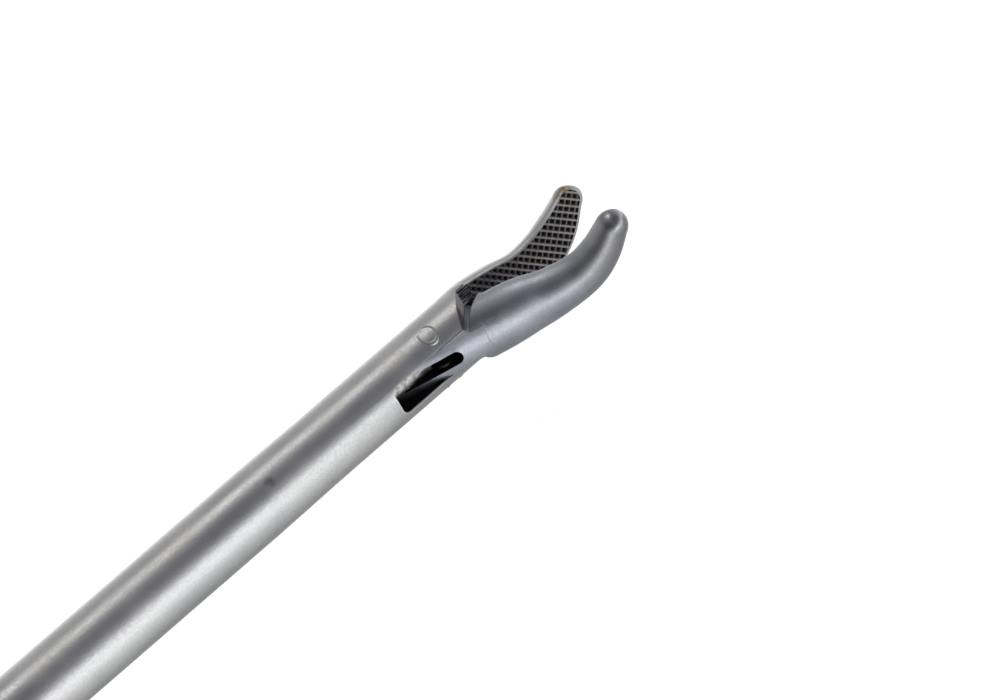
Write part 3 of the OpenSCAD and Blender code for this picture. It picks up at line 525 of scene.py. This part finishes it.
def stage_floor():
    bm = bmesh.new()
    bmesh.ops.create_grid(bm, x_segments=1, y_segments=1, size=6)
    bmesh.ops.translate(bm, verts=bm.verts, vec=(0, 0, FLOOR_Z - 0.02 * MM))
    mesh = bpy.data.meshes.new("floor")
    bm.to_mesh(mesh)
    bm.free()
    floor = bpy.data.objects.new("floor", mesh)
    scene.collection.objects.link(floor)
    material = bpy.data.materials.new("floor_white")
    material.use_nodes = True
    tree = material.node_tree
    shader = tree.nodes["Principled BSDF"]
    shader.inputs["Base Color"].default_value = (0.86, 0.86, 0.86, 1)
    shader.inputs["Roughness"].default_value = 0.9
    shader.inputs["Specular IOR Level"].default_value = 0.1
    # The white that the camera sees, and in the metal a painted shadow: a floor glow that darkens towards the part
    glow = tree.nodes.new("ShaderNodeEmission")
    glow.inputs["Color"].default_value = (1, 1, 1, 1)
    rays = tree.nodes.new("ShaderNodeLightPath")
    mirrored = tree.nodes.new("ShaderNodeMath")
    mirrored.operation = "MAXIMUM"
    tree.links.new(rays.outputs["Is Glossy Ray"], mirrored.inputs[0])
    tree.links.new(rays.outputs["Is Transmission Ray"], mirrored.inputs[1])
    place = tree.nodes.new("ShaderNodeTexCoord")
    split = tree.nodes.new("ShaderNodeSeparateXYZ")
    tree.links.new(place.outputs["Object"], split.inputs["Vector"])
    # The painted shadow follows the open jaw ahead of the hinge
    swing = tree.nodes.new("ShaderNodeMapRange")
    swing.inputs["From Min"].default_value = HINGE_X
    swing.inputs["From Max"].default_value = HINGE_X + 14 * MM
    swing.inputs["To Min"].default_value = 0.0
    swing.inputs["To Max"].default_value = 8 * MM
    tree.links.new(split.outputs["X"], swing.inputs["Value"])
    across = tree.nodes.new("ShaderNodeMath")
    across.operation = "ADD"
    tree.links.new(split.outputs["Y"], across.inputs[0])
    tree.links.new(swing.outputs["Result"], across.inputs[1])
    aside = tree.nodes.new("ShaderNodeMath")
    aside.operation = "ABSOLUTE"
    tree.links.new(across.outputs["Value"], aside.inputs[0])
    # and is wider there
    width = tree.nodes.new("ShaderNodeMapRange")
    width.inputs["From Min"].default_value = HINGE_X - 3 * MM
    width.inputs["From Max"].default_value = HINGE_X + 2 * MM
    width.inputs["To Min"].default_value = 21 * MM
    width.inputs["To Max"].default_value = 60 * MM
    tree.links.new(split.outputs["X"], width.inputs["Value"])
    brighter = tree.nodes.new("ShaderNodeMapRange")
    brighter.inputs["From Min"].default_value = 1 * MM
    tree.links.new(width.outputs["Result"], brighter.inputs["From Max"])
    brighter.inputs["To Min"].default_value = MIRRORED_GLOW[0]
    brighter.inputs["To Max"].default_value = MIRRORED_GLOW[1]
    tree.links.new(aside.outputs["Value"], brighter.inputs["Value"])
    in_metal = tree.nodes.new("ShaderNodeMath")
    in_metal.operation = "MULTIPLY"
    tree.links.new(mirrored.outputs["Value"], in_metal.inputs[0])
    tree.links.new(brighter.outputs["Result"], in_metal.inputs[1])
    share = tree.nodes.new("ShaderNodeMath")
    share.operation = "MULTIPLY_ADD"
    tree.links.new(rays.outputs["Is Camera Ray"], share.inputs[0])
    share.inputs[1].default_value = FLOOR_GLOW
    tree.links.new(in_metal.outputs["Value"], share.inputs[2])
    tree.links.new(share.outputs["Value"], glow.inputs["Strength"])
    both = tree.nodes.new("ShaderNodeAddShader")
    tree.links.new(shader.outputs["BSDF"], both.inputs[0])
    tree.links.new(glow.outputs["Emission"], both.inputs[1])
    tree.links.new(both.outputs["Shader"], tree.nodes["Material Output"].inputs["Surface"])
    mesh.materials.append(material)
    return floor


FLOOR_GLOW = 0.7
# Floor glow seen in reflections, from painted shadow next to the part to bright further off
MIRRORED_GLOW = (0.03, 1.05)
floor = stage_floor()


def area_light(name, place, target, size, power, colour=(1, 1, 1)):
    lamp = bpy.data.lights.new(name, "AREA")
    lamp.shape = "RECTANGLE"
    lamp.size, lamp.size_y = size
    lamp.energy = power
    lamp.color = colour
    obj = bpy.data.objects.new(name, lamp)
    scene.collection.objects.link(obj)
    obj.location = place
    obj.rotation_euler = (Vector(target) - Vector(place)).to_track_quat("-Z", "Y").to_euler()
    return obj


aim = Vector((HINGE_X + 3.70 * MM, -1.43 * MM, -2.42 * MM))
area_light("overhead_softbox", aim + Vector((0.43, 0.25, 1.5)), aim, (0.6, 0.5), 1.3, (1.0, 0.97, 0.92))
area_light("front_strip", aim + Vector((0.5, -1.7, 0.0)), aim, (1.2, 0.3), 1.3, (0.97, 0.98, 1.0))


def studio_world():
    """Pale studio: white round the horizon, dimmer higher up, brighter behind than in front."""
    world = bpy.data.worlds.new("studio")
    scene.world = world
    world.use_nodes = True
    tree = world.node_tree
    rays = tree.nodes.new("ShaderNodeLightPath")
    direction = tree.nodes.new("ShaderNodeTexCoord")
    split = tree.nodes.new("ShaderNodeSeparateXYZ")
    tree.links.new(direction.outputs["Generated"], split.inputs["Vector"])
    domes = []
    for stops in (FRONT_DOME, BACK_DOME):
        dome = tree.nodes.new("ShaderNodeValToRGB")
        ramp = dome.color_ramp
        ramp.elements[0].position = stops[0][0]
        ramp.elements[0].color = (*stops[0][1], 1)
        ramp.elements[1].position = stops[-1][0]
        ramp.elements[1].color = (*stops[-1][1], 1)
        for position, colour in stops[1:-1]:
            ramp.elements.new(position).color = (*colour, 1)
        tree.links.new(split.outputs["Z"], dome.inputs["Fac"])
        domes.append(dome)
    side = tree.nodes.new("ShaderNodeMapRange")
    side.inputs["From Min"].default_value = -0.25
    side.inputs["From Max"].default_value = 0.35
    tree.links.new(split.outputs["Y"], side.inputs["Value"])
    blend = tree.nodes.new("ShaderNodeMix")
    blend.data_type = "RGBA"
    tree.links.new(side.outputs["Result"], blend.inputs["Factor"])
    colours = [socket for socket in blend.inputs if socket.type == "RGBA"]
    # In front, the left half of the room is dimmer than the right half
    half = tree.nodes.new("ShaderNodeMapRange")
    half.inputs["From Min"].default_value = -0.45
    half.inputs["From Max"].default_value = 0.1
    half.inputs["To Min"].default_value = 0.4
    tree.links.new(split.outputs["X"], half.inputs["Value"])
    dimmed = tree.nodes.new("ShaderNodeVectorMath")
    dimmed.operation = "SCALE"
    tree.links.new(domes[0].outputs["Color"], dimmed.inputs[0])
    tree.links.new(half.outputs["Result"], dimmed.inputs["Scale"])
    tree.links.new(dimmed.outputs["Vector"], colours[0])
    tree.links.new(domes[1].outputs["Color"], colours[1])
    seen = tree.nodes.new("ShaderNodeBackground")
    tree.links.new([socket for socket in blend.outputs if socket.type == "RGBA"][0], seen.inputs["Color"])
    soft = tree.nodes.new("ShaderNodeBackground")
    soft.inputs["Color"].default_value = (0.98, 0.99, 1.0, 1)
    soft.inputs["Strength"].default_value = 0.4
    first = tree.nodes.new("ShaderNodeMath")
    first.operation = "MAXIMUM"
    tree.links.new(rays.outputs["Is Camera Ray"], first.inputs[0])
    tree.links.new(rays.outputs["Is Glossy Ray"], first.inputs[1])
    second = tree.nodes.new("ShaderNodeMath")
    second.operation = "MAXIMUM"
    tree.links.new(first.outputs["Value"], second.inputs[0])
    tree.links.new(rays.outputs["Is Transmission Ray"], second.inputs[1])
    choose = tree.nodes.new("ShaderNodeMixShader")
    tree.links.new(second.outputs["Value"], choose.inputs["Fac"])
    tree.links.new(soft.outputs["Background"], choose.inputs[1])
    tree.links.new(seen.outputs["Background"], choose.inputs[2])
    tree.links.new(choose.outputs["Shader"], tree.nodes["World Output"].inputs["Surface"])


# Height of the sight line, from the horizon at 0 to straight up at 1, and the colour there
FRONT_DOME = [(0.0, (1, 1, 1)), (0.1, (0.9, 0.9, 0.9)), (0.28, (0.4, 0.41, 0.43)),
              (0.45, (0.17, 0.17, 0.195)), (0.8, (0.15, 0.15, 0.17)), (0.93, (0.26, 0.26, 0.27)),
              (1.0, (0.38, 0.38, 0.38))]
BACK_DOME = [(0.0, (1, 1, 1)), (0.15, (0.8, 0.8, 0.8)), (0.4, (0.56, 0.56, 0.56)),
             (0.7, (0.36, 0.36, 0.37)), (0.9, (0.32, 0.32, 0.32)), (1.0, (0.38, 0.38, 0.38))]
studio_world()

camera_data = bpy.data.cameras.new("camera")
camera = bpy.data.objects.new("camera", camera_data)
scene.collection.objects.link(camera)
scene.camera = camera
distance = 0.9
camera_data.sensor_width = 36
camera_data.lens = 36 * distance / (1000 / 15.1 * MM)
camera_data.clip_start = 0.01
camera_data.clip_end = 50
to_camera = Vector((-0.2756, -0.8283, 0.4880)).normalized()
along = Vector((0.9613, -0.2376, 0.1400))
upward = Vector((0, 0.508, 0.862))
turn = math.radians(40.93)
right = (math.cos(turn) * along - math.sin(turn) * upward).normalized()
up = to_camera.cross(right).normalized()
right = up.cross(to_camera).normalized()
basis = Matrix((right, up, to_camera)).transposed().to_4x4()
basis.translation = aim + to_camera * distance
camera.matrix_world = basis

scene.view_settings.view_transform = "Standard"
